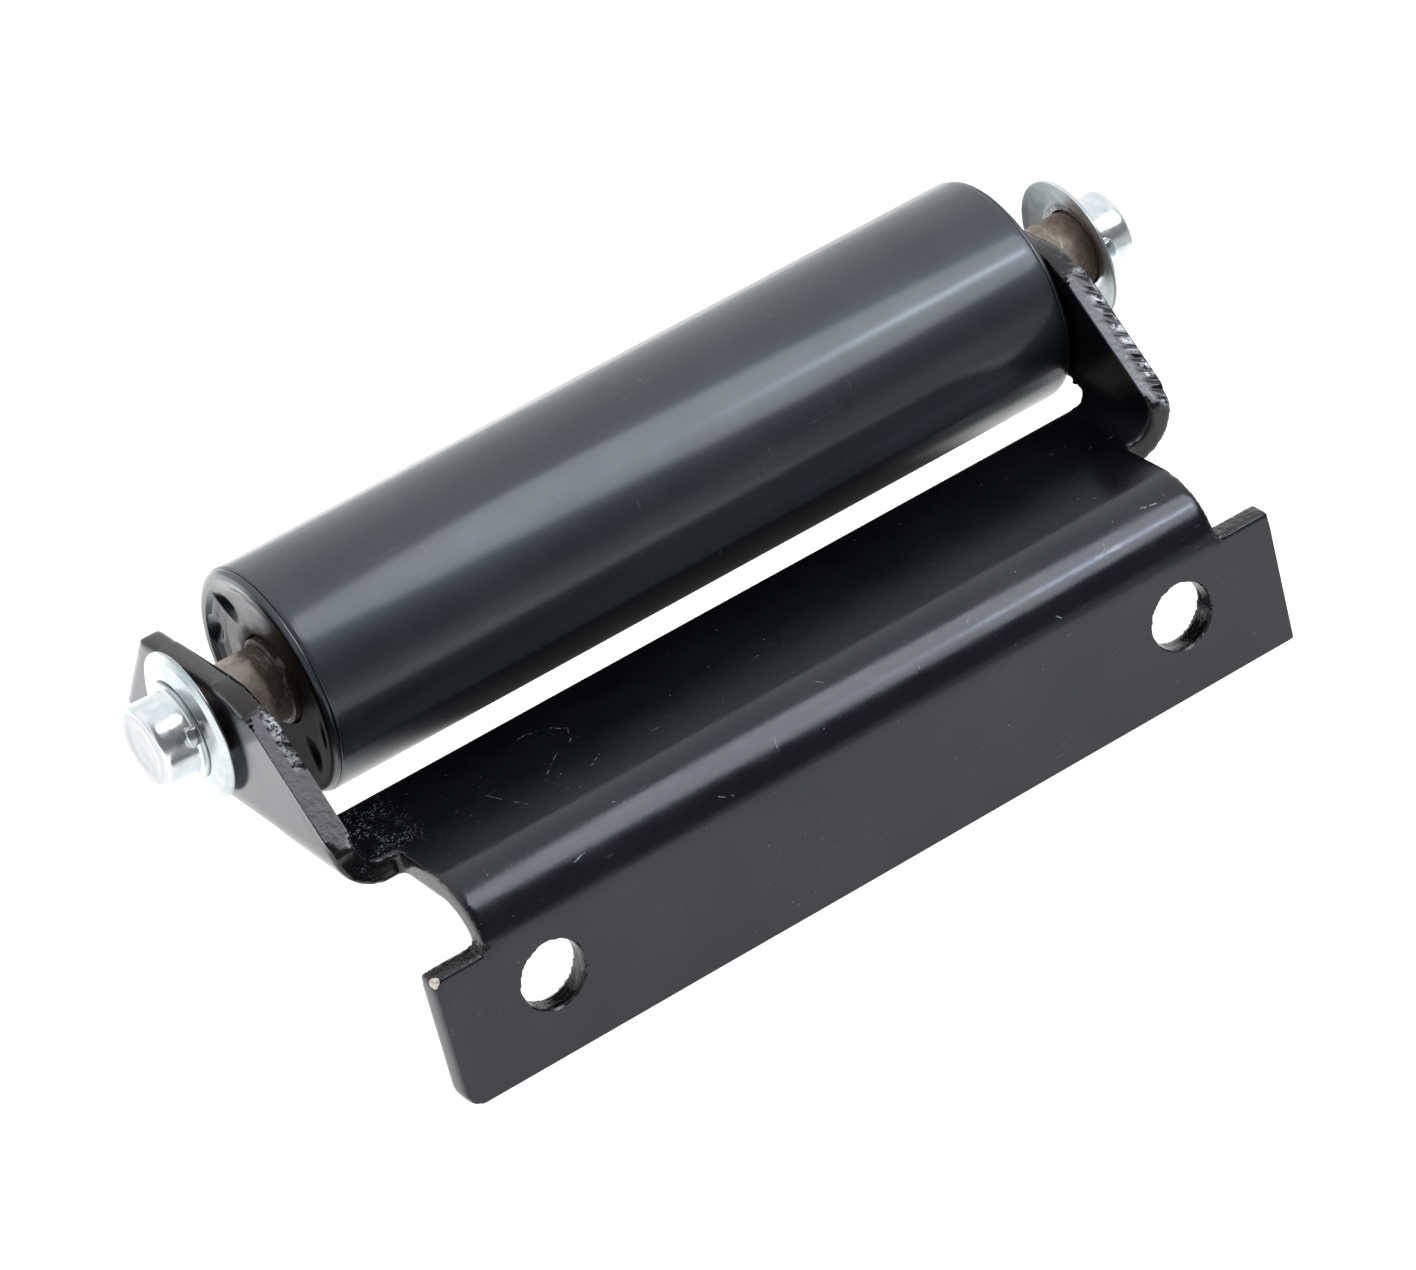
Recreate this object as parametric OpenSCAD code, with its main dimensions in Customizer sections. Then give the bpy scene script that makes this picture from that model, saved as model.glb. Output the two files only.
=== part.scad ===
// Bow roller: a bent plate bracket carrying a steel tube roller on a plain axle.
// Units are millimetres.
// X runs along the roller, Y from the front flange back to the roller, Z is up.
// The origin is midway between the two bolt holes, on the front face of the flange.

/* [Bracket] */
// Thickness of the bracket plate
plate_thickness = 6.5; // [4:0.1:10]
// End to end length of the front flange
flange_length = 247; // [180:1:320]
// Distance from the bolt line down to the flange's lower edge
flange_below_bolts = 22.6; // [15:0.1:40]
// Distance from the bolt line up to the top of the flange's end lugs
lug_above_bolts = 15; // [10:0.1:25]
// Height of the web's top face above the bolt line
web_height = 29; // [20:0.5:50]
// Width of the web between the corner reliefs
web_width = 216.2; // [150:0.2:300]
// Distance from the flange's front face to the web's back edge
web_depth = 61; // [40:0.5:100]
// Outer radius of the bend between the flange and the web
flange_bend_radius = 17; // [8:0.5:25]
// Radius of the rounded lower corner of the flange
flange_corner_radius = 5; // [1:0.5:12]
// Diameter of the two bolt holes
bolt_hole_diameter = 17.5; // [8:0.1:22]
// Distance between the two bolt holes
bolt_spacing = 186.8; // [120:0.2:260]

/* [Ears] */
// Distance over the outer faces of the two ears
ear_spread = 248; // [180:1:330]
// Outer radius of the bend between the web and an ear
ear_bend_radius = 13; // [8:0.5:20]
// Distance from the flange's front face to the front of the ear bend
ear_front = 33.9; // [20:0.1:60]
// Height of the ears' top edge above the bolt line
ear_top = 67.5; // [50:0.5:100]
// Height of the ears' lower edge behind the web
ear_bottom = 31.4; // [25:0.1:45]
// Drop of the ears' top edge towards its back end
ear_top_drop = 1.5; // [0:0.1:4]
// Slope of the ears' front edge, in degrees from level
ear_slope = 45.3; // [30:0.1:70]
// Radius where the sloping front edge turns into the top edge
ear_shoulder_radius = 25; // [5:1:40]
// Distance from the flange's front face to the end of the flat top edge
ear_top_end = 112.8; // [90:0.1:140]
// Distance from the flange's front face to the tip at the back of the ear
ear_tip = 135; // [110:0.5:160]
// Diameter of the axle holes in the ears
axle_hole_diameter = 21; // [20.2:0.1:24]

/* [Axle] */
// Diameter of the axle
axle_diameter = 20; // [12:0.1:25]
// Distance from the flange's front face back to the axle's centre line
axle_back = 91.5; // [70:0.5:120]
// Height of the axle's centre line above the bolt line
axle_height = 51; // [40:0.5:70]
// Distance along X from the middle of the bracket to the axle's left end
axle_left_end = 137.6; // [125:0.1:160]
// Distance along X from the middle of the bracket to the axle's right end
axle_right_end = 150.3; // [125:0.1:165]

/* [Roller] */
// Outside diameter of the roller tube
tube_diameter = 60.3; // [40:0.1:90]
// Wall thickness of the roller tube
tube_wall = 3; // [2:0.1:5]
// Length of the roller tube
tube_length = 217.6; // [150:0.2:280]
// Shift of the roller along X from the middle of the bracket
roller_shift = 6.4; // [-6:0.1:6.4]

/* [Roller ends] */
// Height of the rolled rim that stands out of each tube end
rim_height = 1.8; // [0.5:0.1:4]
// Radius of the rolled rim
rim_radius = 29.7; // [25:0.1:30]
// Sheet thickness of the pressed end cups
cup_sheet = 2; // [1:0.1:3]
// Depth of the end cup inside the tube
cup_depth = 20; // [10:0.5:40]
// Radius of the opening in the middle of the end cup
cup_opening_radius = 11.8; // [11:0.1:18]
// Number of pairs of dimples round the end face
dimple_pairs = 2; // [1:1:4]
// Angle between the two dimples of a pair
dimple_pair_angle = 36; // [26:1:60]
// Distance of the dimples from the axle's centre line
dimple_ring_radius = 20.4; // [18:0.1:24]
// Diameter of one dimple
dimple_diameter = 8.2; // [4:0.1:10]
// Depth of one dimple
dimple_depth = 1.1; // [0.3:0.1:1.6]

/* [Bearings] */
// Radius of the housing bore that holds the bearing
housing_radius = 18; // [15:0.1:22]
// Outer radius of the inner race
inner_race_radius = 12.5; // [11.5:0.1:14]
// Outer radius of the inner race's nose, which stands out through the end cup
race_nose_radius = 11.2; // [10.6:0.1:11.4]
// Radial clearance between the axle and the inner race
race_clearance = 0.06; // [0.02:0.01:0.1]
// Inner radius of the outer race
outer_race_inner_radius = 15.3; // [14:0.1:17]
// Diameter of one bearing ball
ball_diameter = 4.76; // [3:0.01:6]
// Number of balls in one bearing
ball_count = 14; // [8:1:16]
// Clearance between a ball and its grooves
ball_clearance = 0.07; // [0.02:0.01:0.1]

/* [Axle caps] */
// Radius of the dished retaining washer
washer_radius = 19.4; // [18:0.1:26]
// Sheet thickness of the retaining washer
washer_sheet = 0.9; // [0.5:0.1:1.5]
// Height of the dish in the retaining washer
washer_dish = 2; // [0.5:0.1:4]
// Gap between the left washer's rim and the ear
left_gap = 1.5; // [0.5:0.1:14]
// Gap between the right washer's rim and the ear
right_gap = 14.2; // [0.5:0.1:15]
// Outer radius of the cap's cup
cap_radius = 10.9; // [10.7:0.1:14]
// Length of the cap's cup beyond the washer
cap_length = 11.5; // [5:0.1:20]
// Number of gripping teeth inside the washer
tooth_count = 8; // [4:1:12]

/* [Hidden] */
$fn = 96;
black_paint = [0.05, 0.05, 0.06];
bare_steel = [0.42, 0.34, 0.28];
race_steel = [0.55, 0.55, 0.57];
zinc = [0.78, 0.82, 0.84];
rubber_black = [0.08, 0.08, 0.08];

web_half = web_width / 2;
ear_half = ear_spread / 2;
ear_inside = ear_half - plate_thickness;
bend_start = ear_half - ear_bend_radius;
ear_root = web_height - plate_thickness + ear_bend_radius;
shoulder_back = ear_front + (ear_top - ear_root) / tan(ear_slope);
tube_left = roller_shift - tube_length / 2;
tube_right = roller_shift + tube_length / 2;
tube_bore = tube_diameter / 2 - tube_wall;
roller_relief = tube_diameter / 2 + 1;
axle_radius = axle_diameter / 2;
ball_ring = (inner_race_radius + outer_race_inner_radius) / 2;
ball_plane = -8.2;
groove_radius = ball_diameter / 2 + ball_clearance;
left_washer_rim = -ear_half - left_gap;
right_washer_rim = ear_half + right_gap;
cap_sheet = 0.75;

// ---------- helpers ----------

// Box given by its two opposite corners.
module box(low, high) {
    translate(low)
        cube(high - low);
}

// Cylinder along X between two positions, centred on a line at y, z.
module bar_x(x0, x1, y, z, r) {
    translate([x0, y, z])
        rotate([0, 90, 0])
            cylinder(h = x1 - x0, r = r);
}

// Cylinder along Y between two positions, centred on a line at x, z.
module bar_y(y0, y1, x, z, r) {
    translate([x, y0, z])
        rotate([-90, 0, 0])
            cylinder(h = y1 - y0, r = r);
}

function unit(v) = v / norm(v);
function corner_angle(a, b, c) = acos(unit(a - b) * unit(c - b));
function corner_reach(a, b, c, r) = r / tan(corner_angle(a, b, c) / 2);
function corner_in(a, b, c, r) = b + unit(a - b) * corner_reach(a, b, c, r);
function corner_out(a, b, c, r) = b + unit(c - b) * corner_reach(a, b, c, r);
function corner_centre(a, b, c, r) =
    b + unit(unit(a - b) + unit(c - b)) * r / sin(corner_angle(a, b, c) / 2);

// Plate standing in the YZ plane, from an outline of (y, z) points.
module side_plate(x0, x1, points) {
    translate([x0, 0, 0])
        rotate([90, 0, 90])
            linear_extrude(height = x1 - x0)
                polygon(points);
}

// Round part of an outline corner b between its neighbours a and c.
module side_corner(x0, x1, a, b, c, r) {
    m = corner_centre(a, b, c, r);
    intersection() {
        bar_x(x0, x1, m[0], m[1], r);
        side_plate(x0, x1, [m, corner_in(a, b, c, r), b, corner_out(a, b, c, r)]);
    }
}

// Places a roller end profile (Z outwards from the tube's end plane) on the left end.
module at_left_end() {
    translate([tube_left, axle_back, axle_height])
        rotate([0, -90, 0])
            children();
}

// Places a roller end profile on the right end.
module at_right_end() {
    translate([tube_right, axle_back, axle_height])
        rotate([0, 90, 0])
            children();
}

// Places an axle cap profile (Z outwards from the washer's rim plane) on the left.
module at_left_cap() {
    translate([left_washer_rim, axle_back, axle_height])
        rotate([0, -90, 0])
            children();
}

// Places an axle cap profile on the right.
module at_right_cap() {
    translate([right_washer_rim, axle_back, axle_height])
        rotate([0, 90, 0])
            children();
}

// Ring round Z between two radii and two heights.
module ring(r_in, r_out, z0, z1) {
    difference() {
        translate([0, 0, z0])
            cylinder(h = z1 - z0, r = r_out);
        translate([0, 0, z0 - 1])
            cylinder(h = z1 - z0 + 2, r = r_in);
    }
}

// Groove cut by the balls' track.
module ball_track() {
    rotate_extrude()
        translate([ball_ring, ball_plane])
            circle(r = groove_radius);
}

// ---------- bracket ----------

// Flat flange with the two end lugs that stand above the bend line.
module flange_plate() {
    half = flange_length / 2;
    bend_line = web_height - flange_bend_radius;
    difference() {
        union() {
            box([-half, 0, -flange_below_bolts], [half, plate_thickness, bend_line]);
            box([-half, 0, bend_line - 1], [-web_half, plate_thickness, lug_above_bolts]);
            box([web_half, 0, bend_line - 1], [half, plate_thickness, lug_above_bolts]);
        }
        difference() {
            box([-half - 1, -1, -flange_below_bolts - 1],
                [-half + flange_corner_radius, plate_thickness + 1, -flange_below_bolts + flange_corner_radius]);
            bar_y(-2, plate_thickness + 2, -half + flange_corner_radius,
                -flange_below_bolts + flange_corner_radius, flange_corner_radius);
        }
    }
}

// Large bend from the flange up and over to the web.
module flange_bend() {
    r = flange_bend_radius;
    y0 = r;
    z0 = web_height - r;
    intersection() {
        difference() {
            bar_x(-web_half, web_half, y0, z0, r);
            bar_x(-web_half - 1, web_half + 1, y0, z0, r - plate_thickness);
        }
        box([-web_half - 2, -1, z0], [web_half + 2, y0, z0 + r + 1]);
    }
}

// Flat web between the flange bend and the back edge.
module web_plate() {
    low = web_height - plate_thickness;
    box([-web_half, flange_bend_radius, low], [web_half, ear_front, web_height]);
    box([-bend_start, ear_front, low], [bend_start, web_depth, web_height]);
}

// Bent strip from which one ear is cut: the tight bend and the upright plate.
module right_ear_strip() {
    r = ear_bend_radius;
    union() {
        intersection() {
            difference() {
                bar_y(ear_front, ear_tip + 2, bend_start, ear_root, r);
                bar_y(ear_front - 1, ear_tip + 3, bend_start, ear_root, r - plate_thickness);
            }
            box([bend_start, ear_front - 1, ear_root - r - 1], [ear_half + 1, ear_tip + 4, ear_root]);
        }
        box([ear_inside, ear_front, ear_root], [ear_half, ear_tip + 2, ear_top + 1]);
    }
}

// Side outline of an ear: sloping front edge, flat top, slanted back and long lower edge.
module ear_outline(x0, x1) {
    low = web_height - plate_thickness - 1;
    front_low = [ear_front, low];
    front_high = [ear_front, ear_root];
    shoulder = [shoulder_back, ear_top];
    top_end = [ear_top_end, ear_top - ear_top_drop];
    tip = [ear_tip, 37.5];
    heel = [103, ear_bottom];
    notch = [web_depth, ear_bottom];
    web_end = [web_depth, low];
    r1 = ear_shoulder_radius;
    union() {
        side_plate(x0, x1, [front_low, front_high,
            corner_in(front_high, shoulder, top_end, r1),
            corner_out(front_high, shoulder, top_end, r1),
            corner_in(shoulder, top_end, tip, 3),
            corner_out(shoulder, top_end, tip, 3),
            corner_in(top_end, tip, heel, 3),
            corner_out(top_end, tip, heel, 3),
            heel, notch, web_end]);
        side_corner(x0, x1, front_high, shoulder, top_end, r1);
        side_corner(x0, x1, shoulder, top_end, tip, 3);
        side_corner(x0, x1, top_end, tip, heel, 3);
        difference() {
            box([x0, web_depth - 0.01, ear_bottom - 3], [x1, web_depth + 3, ear_bottom + 0.01]);
            bar_x(x0 - 1, x1 + 1, web_depth + 3, ear_bottom - 3, 3);
        }
    }
}

module right_ear() {
    intersection() {
        right_ear_strip();
        ear_outline(bend_start - 2, ear_half + 2);
    }
}

module bracket() {
    color(black_paint)
        difference() {
            union() {
                flange_plate();
                flange_bend();
                web_plate();
                right_ear();
                mirror([1, 0, 0])
                    right_ear();
            }
            bar_y(-1, plate_thickness + 1, -bolt_spacing / 2, 0, bolt_hole_diameter / 2);
            bar_y(-1, plate_thickness + 1, bolt_spacing / 2, 0, bolt_hole_diameter / 2);
            bar_x(-ear_inside + 0.05, ear_inside - 0.05, axle_back, axle_height, roller_relief);
            bar_x(-ear_half - 1, -ear_inside + 1, axle_back, axle_height, axle_hole_diameter / 2);
            bar_x(ear_inside - 1, ear_half + 1, axle_back, axle_height, axle_hole_diameter / 2);
        }
}

// ---------- axle ----------

module axle() {
    color(bare_steel)
        union() {
            bar_x(-axle_left_end + 0.8, axle_right_end - 0.8, axle_back, axle_height, axle_radius);
            translate([-axle_left_end, axle_back, axle_height])
                rotate([0, 90, 0])
                    cylinder(h = 0.8, r1 = axle_radius - 0.8, r2 = axle_radius);
            translate([axle_right_end - 0.8, axle_back, axle_height])
                rotate([0, 90, 0])
                    cylinder(h = 0.8, r1 = axle_radius, r2 = axle_radius - 0.8);
        }
}

// ---------- roller ----------

module roller_tube() {
    color(black_paint)
        difference() {
            bar_x(tube_left, tube_right, axle_back, axle_height, tube_diameter / 2);
            bar_x(tube_left - 1, tube_right + 1, axle_back, axle_height, tube_bore);
        }
}

// Pressed end cup: skirt inside the tube, rolled rim, dimpled face and bearing housing.
module end_cup() {
    edge = rim_height / 2;
    face = -0.2;
    difference() {
        union() {
            ring(tube_bore - 1.8, tube_bore, -cup_depth, face);
            ring(cup_opening_radius, tube_bore, face - cup_sheet, face);
            ring(housing_radius, housing_radius + 1.8, -15, face - 1);
            rotate_extrude()
                union() {
                    translate([24.9, -0.6])
                        square([tube_bore - 24.9, 0.6 + rim_height]);
                    translate([24.9, 0])
                        square([rim_radius - edge - 24.9, rim_height]);
                    translate([24.9, 0])
                        square([rim_radius - 24.9, edge]);
                    translate([rim_radius - edge, edge])
                        circle(r = edge);
                }
        }
        rotate_extrude()
            translate([24.9, rim_height])
                circle(r = 1.2);
        for (i = [0:dimple_pairs - 1])
            for (turn = [0, dimple_pair_angle])
                rotate([0, 0, 360 / dimple_pairs * i + 39 + turn])
                    translate([dimple_ring_radius, 0, face + dimple_ball() - dimple_depth])
                        sphere(r = dimple_ball());
    }
}

// Radius of the ball that presses a dimple of the given width and depth.
function dimple_ball() =
    (dimple_diameter * dimple_diameter / 4 + dimple_depth * dimple_depth) / (2 * dimple_depth);

module outer_race() {
    difference() {
        ring(outer_race_inner_radius, housing_radius, -13.2, -3.2);
        ball_track();
    }
}

module inner_race() {
    difference() {
        union() {
            ring(axle_radius + race_clearance, inner_race_radius, -14, -2.6);
            ring(axle_radius + race_clearance, race_nose_radius, -3, 0.7);
            difference() {
                translate([0, 0, 0.7])
                    cylinder(h = 0.6, r1 = race_nose_radius, r2 = race_nose_radius - 0.6);
                translate([0, 0, -1])
                    cylinder(h = 4, r = axle_radius + race_clearance);
            }
        }
        ball_track();
    }
}

module ball_set() {
    for (i = [0:ball_count - 1])
        rotate([0, 0, 360 / ball_count * i])
            translate([ball_ring, 0, ball_plane])
                sphere(r = ball_diameter / 2, $fn = 24);
}

module dust_shield() {
    ring(inner_race_radius + 0.5, housing_radius, -3.2, -2.2);
}

module end_cup_left() {
    color(black_paint)
        at_left_end()
            end_cup();
}

module end_cup_right() {
    color(black_paint)
        at_right_end()
            end_cup();
}

module outer_race_left() {
    color(race_steel)
        at_left_end()
            outer_race();
}

module outer_race_right() {
    color(race_steel)
        at_right_end()
            outer_race();
}

module inner_race_left() {
    color(bare_steel)
        at_left_end()
            inner_race();
}

module inner_race_right() {
    color(bare_steel)
        at_right_end()
            inner_race();
}

module ball_set_left() {
    color(race_steel)
        at_left_end()
            ball_set();
}

module ball_set_right() {
    color(race_steel)
        at_right_end()
            ball_set();
}

module dust_shield_left() {
    color(rubber_black)
        at_left_end()
            dust_shield();
}

module dust_shield_right() {
    color(rubber_black)
        at_right_end()
            dust_shield();
}

// ---------- axle caps ----------

// Dished spring washer whose inner teeth grip the axle.
module retaining_washer() {
    s = washer_sheet;
    difference() {
        rotate_extrude()
            polygon([
                [washer_radius, 0],
                [washer_radius, s],
                [17.5, s + washer_dish * 0.42],
                [15, s + washer_dish * 0.76],
                [13.2, s + washer_dish],
                [axle_radius, s + washer_dish],
                [axle_radius, washer_dish],
                [13, washer_dish],
                [14.8, washer_dish * 0.76],
                [17.3, washer_dish * 0.42]
            ]);
        for (i = [0:tooth_count - 1])
            rotate([0, 0, 360 / tooth_count * i])
                translate([0, -0.6, washer_dish - 1])
                    cube([12.2, 1.2, s + 2]);
    }
}

// Drawn cup over the axle's end, with a foot on the washer and two crimped tabs.
module cap_cup() {
    base = washer_dish + washer_sheet;
    top = washer_dish + cap_length;
    edge = 2;
    difference() {
        union() {
            rotate_extrude()
                union() {
                    translate([0, base])
                        square([cap_radius, top - edge - base]);
                    translate([0, base])
                        square([cap_radius - edge, top - base]);
                    translate([cap_radius - edge, top - edge])
                        circle(r = edge);
                    translate([0, base])
                        square([12.9, cap_sheet]);
                }
            for (a = [0, 180])
                rotate([0, 0, a + 11])
                    translate([9.6, -3.2, base])
                        cube([3.6, 6.4, 3]);
        }
        translate([0, 0, base - 1])
            cylinder(h = top - base + 1 - cap_sheet, r = cap_radius - cap_sheet);
    }
}

module retaining_washer_left() {
    color(zinc)
        at_left_cap()
            retaining_washer();
}

module retaining_washer_right() {
    color(zinc)
        at_right_cap()
            retaining_washer();
}

module cap_cup_left() {
    color(zinc)
        at_left_cap()
            rotate([0, 0, 90])
                cap_cup();
}

module cap_cup_right() {
    color(zinc)
        at_right_cap()
            rotate([0, 0, 90])
                cap_cup();
}

// ---------- build ----------

bracket();
axle();
roller_tube();
end_cup_left();
end_cup_right();
outer_race_left();
outer_race_right();
inner_race_left();
inner_race_right();
ball_set_left();
ball_set_right();
dust_shield_left();
dust_shield_right();
retaining_washer_left();
retaining_washer_right();
cap_cup_left();
cap_cup_right();
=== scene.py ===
import math
import bmesh
import bpy
import numpy as np
from mathutils import Matrix, Vector, noise


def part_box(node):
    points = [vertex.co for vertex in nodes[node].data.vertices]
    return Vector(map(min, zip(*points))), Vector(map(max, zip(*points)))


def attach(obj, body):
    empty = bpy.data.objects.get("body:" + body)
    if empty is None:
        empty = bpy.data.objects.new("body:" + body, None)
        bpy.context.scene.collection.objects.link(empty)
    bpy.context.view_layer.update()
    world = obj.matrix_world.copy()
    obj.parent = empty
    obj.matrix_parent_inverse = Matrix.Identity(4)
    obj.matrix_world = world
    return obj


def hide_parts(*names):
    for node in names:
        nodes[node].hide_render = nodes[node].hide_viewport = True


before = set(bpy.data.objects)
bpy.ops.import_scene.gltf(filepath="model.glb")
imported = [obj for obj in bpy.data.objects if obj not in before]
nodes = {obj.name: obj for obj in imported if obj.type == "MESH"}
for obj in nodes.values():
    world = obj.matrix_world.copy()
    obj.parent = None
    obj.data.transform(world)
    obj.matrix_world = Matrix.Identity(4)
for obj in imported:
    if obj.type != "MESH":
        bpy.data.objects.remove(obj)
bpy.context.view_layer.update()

MM = 0.001
scene = bpy.context.scene

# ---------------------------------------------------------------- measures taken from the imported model

bracket_low, bracket_high = [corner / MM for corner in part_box("bracket")]
tube_low, tube_high = [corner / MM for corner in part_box("roller_tube")]
axle_low, axle_high = [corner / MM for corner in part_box("axle")]
AXIS_Y = (tube_low.y + tube_high.y) / 2
AXIS_Z = (tube_low.z + tube_high.z) / 2
TUBE_R = (tube_high.y - tube_low.y) / 2
TUBE_BORE = TUBE_R - 3.0
AXLE_R = (axle_high.y - axle_low.y) / 2
EAR_HALF = bracket_high.x
PLATE = 6.5
EAR_IN = EAR_HALF - PLATE
WEB_TOP = 29.0
WEB_HALF = 108.1
BEND_R = 17.0
EAR_BEND_R = 13.0
EAR_ROOT = WEB_TOP - PLATE + EAR_BEND_R
EAR_FRONT = 33.9
EAR_SLOPE = math.radians(45.3)
EAR_TOP = 67.5
LUG_TOP = 15.0
FLANGE_HALF = 123.5
HOLE_R = 8.75
HOLE_X = 93.4


# ---------------------------------------------------------------- mesh helpers

def new_object(name, verts, faces):
    """Object from vertices in millimetres."""
    mesh = bpy.data.meshes.new(name)
    mesh.from_pydata([tuple(c * MM for c in v) for v in verts], [], faces)
    mesh.update()
    obj = bpy.data.objects.new(name, mesh)
    scene.collection.objects.link(obj)
    return obj


def smooth_faces(obj):
    obj.data.polygons.foreach_set("use_smooth", [True] * len(obj.data.polygons))


def fix_normals(obj):
    bm = bmesh.new()
    bm.from_mesh(obj.data)
    bmesh.ops.remove_doubles(bm, verts=bm.verts, dist=0.002 * MM)
    bmesh.ops.recalc_face_normals(bm, faces=bm.faces)
    bm.to_mesh(obj.data)
    bm.free()
    obj.data.update()


def read_points(mesh, what="co"):
    out = np.empty(len(mesh.vertices) * 3)
    if what == "co":
        mesh.vertices.foreach_get("co", out)
        return out.reshape(-1, 3) / MM
    mesh.vertices.foreach_get("normal", out)
    return out.reshape(-1, 3)


def write_points(mesh, points):
    mesh.vertices.foreach_set("co", (points * MM).ravel())
    mesh.update()


def round_path(points, radii, steps=5):
    """Rounds each corner of an open (radius, height) path with its own radius."""
    out = [points[0]]
    for i in range(1, len(points) - 1):
        a, b, c = Vector(points[i - 1]), Vector(points[i]), Vector(points[i + 1])
        r = radii[i]
        if r <= 0:
            out.append(tuple(b))
            continue
        u, v = (a - b).normalized(), (c - b).normalized()
        half = u.angle(v) / 2
        reach = min(r / math.tan(half), (a - b).length * 0.49, (c - b).length * 0.49)
        p, q = b + u * reach, b + v * reach
        for k in range(steps + 1):
            t = k / steps
            m = p * (1 - t) ** 2 + b * 2 * t * (1 - t) + q * t * t
            out.append(tuple(m))
    out.append(points[-1])
    return out


def even_path(path, step):
    """Adds points so that no stretch of a path is longer than step."""
    out = [path[0]]
    for a, b in zip(path, path[1:]):
        n = max(1, math.ceil((Vector(b) - Vector(a)).length / step))
        for k in range(1, n + 1):
            t = k / n
            out.append((a[0] + (b[0] - a[0]) * t, a[1] + (b[1] - a[1]) * t))
    return out


def lathe(name, path, plane, side, steps=192, closed=True):
    """Turns a (radius, outward height) path about the axle's line. plane is the X of height 0."""
    verts, faces = [], []
    n = len(path)
    for k in range(steps):
        a = 2 * math.pi * k / steps
        for r, h in path:
            verts.append((plane + side * h, AXIS_Y + r * math.cos(a), AXIS_Z + r * math.sin(a)))
    last = n if closed else n - 1
    for k in range(steps):
        j = (k + 1) % steps
        for i in range(last):
            m = (i + 1) % n
            faces.append((k * n + i, k * n + m, j * n + m, j * n + i))
    obj = new_object(name, verts, faces)
    fix_normals(obj)
    smooth_faces(obj)
    return obj


def wobble(obj, amount, size, seed):
    """Small hand-made unevenness along the normals."""
    mesh = obj.data
    p, n = read_points(mesh), read_points(mesh, "normal")
    d = np.array([noise.noise(Vector(q) / size + Vector((seed, seed * 1.7, 0))) for q in p])
    write_points(mesh, p + n * (d * amount)[:, None])


def spread(values, low, high):
    """Smooth step from 0 at low to 1 at high."""
    t = np.clip((values - low) / (high - low), 0, 1)
    return t * t * (3 - 2 * t)


# ---------------------------------------------------------------- bracket

def remeshed_copy(node, name, voxel):
    obj = bpy.data.objects.new(name, nodes[node].data.copy())
    scene.collection.objects.link(obj)
    step = obj.modifiers.new("even mesh", "REMESH")
    step.mode = "VOXEL"
    step.voxel_size = voxel * MM
    graph = bpy.context.evaluated_depsgraph_get()
    mesh = bpy.data.meshes.new_from_object(obj.evaluated_get(graph))
    obj.modifiers.clear()
    obj.data = mesh
    return obj


def relax(points, edges, weight, rounds):
    """Laplacian smoothing, each point moving by its own weight."""
    count = np.bincount(edges.ravel(), minlength=len(points)).astype(float)[:, None]
    for _ in range(rounds):
        total = np.zeros_like(points)
        np.add.at(total, edges[:, 0], points[edges[:, 1]])
        np.add.at(total, edges[:, 1], points[edges[:, 0]])
        points = points + (total / count - points) * weight[:, None]
    return points


def to_cylinder(points, mask, u, v, cu, cv, radius, reach):
    """Moves points near a cylinder's surface onto it. u and v are its two cross axes."""
    du, dv = points[:, u] - cu, points[:, v] - cv
    r = np.hypot(du, dv)
    near = mask & (np.abs(r - radius) < reach)
    points[near, u] = cu + du[near] / r[near] * radius
    points[near, v] = cv + dv[near] / r[near] * radius


def edge_ripple(s, across, seed):
    """Depth of the flame-cut lines at a place s along the ear's sloping edge."""
    first, growth = 2.3, 0.065
    wave = np.log(first + growth * np.clip(s, 0, None)) / growth + 0.16 * across
    wave = wave + 0.22 * np.array([noise.noise(Vector((q * 0.35, seed, 0))) for q in s])
    saw = wave - np.floor(wave)
    return np.where(saw < 0.62, (saw / 0.62) ** 2.2, ((1 - saw) / 0.38) ** 0.8)


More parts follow.
